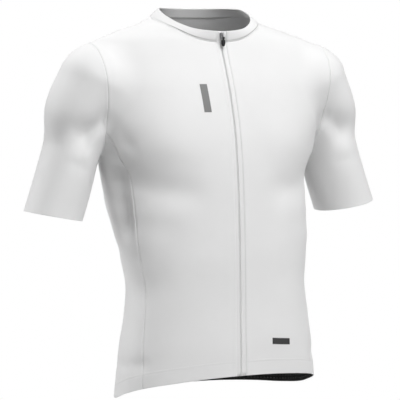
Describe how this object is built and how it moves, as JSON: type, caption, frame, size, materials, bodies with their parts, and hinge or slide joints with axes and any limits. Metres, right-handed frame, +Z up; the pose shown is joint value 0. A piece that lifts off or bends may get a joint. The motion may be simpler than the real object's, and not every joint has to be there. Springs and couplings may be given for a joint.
{
  "type": "short-sleeved cycling jersey",
  "caption": "White short-sleeved cycling jersey with a full front zip, low stand-up collar, side panels and a dropped tail, filled out in the shape it is worn in.",
  "frame": {"origin": "on the centre plane at shoulder height, beside the neck's base, where the wearer's shoulders hold the jersey up", "axes": "+Z up, the front faces -Y, +X is the wearer's left; +Y is the shortest extent"},
  "size_m": [0.649, 0.2589, 0.6562],
  "materials": {
    "knit": "matt white warp-knit polyester jersey",
    "collar_knit": "matt white knit, doubled",
    "zip_tape": "white woven zip tape",
    "zip_coil": "white nylon coil",
    "slider_metal": "grey satin metal",
    "pull_tab": "black moulded rubber",
    "gripper": "black elastic with small silicone dots",
    "chest_strip": "plain grey heat-bonded strip",
    "hem_label": "plain dark grey woven label"
  },
  "bodies": {
    "jersey": {"front_right": "knit", "front_left": "knit", "back": "knit", "side_right": "knit", "side_left": "knit", "sleeve_right": "knit", "sleeve_left": "knit", "collar": "collar_knit", "zip_tape_right": "zip_tape", "zip_tape_left": "zip_tape", "zip_chain": "zip_coil", "zip_slider": "slider_metal", "pocket_panel": "knit", "hem_gripper": "gripper", "chest_strip": "chest_strip", "hem_label": "hem_label"},
    "pull": {"zip_pull": "pull_tab"}
  },
  "joints": [
    {"name": "pull_swing", "type": "hinge", "parent": "jersey", "child": "pull", "pos_m": [0, -0.0665, -0.018], "axis": [-1, 0, 0], "range_deg": [0, 165]}
  ]
}
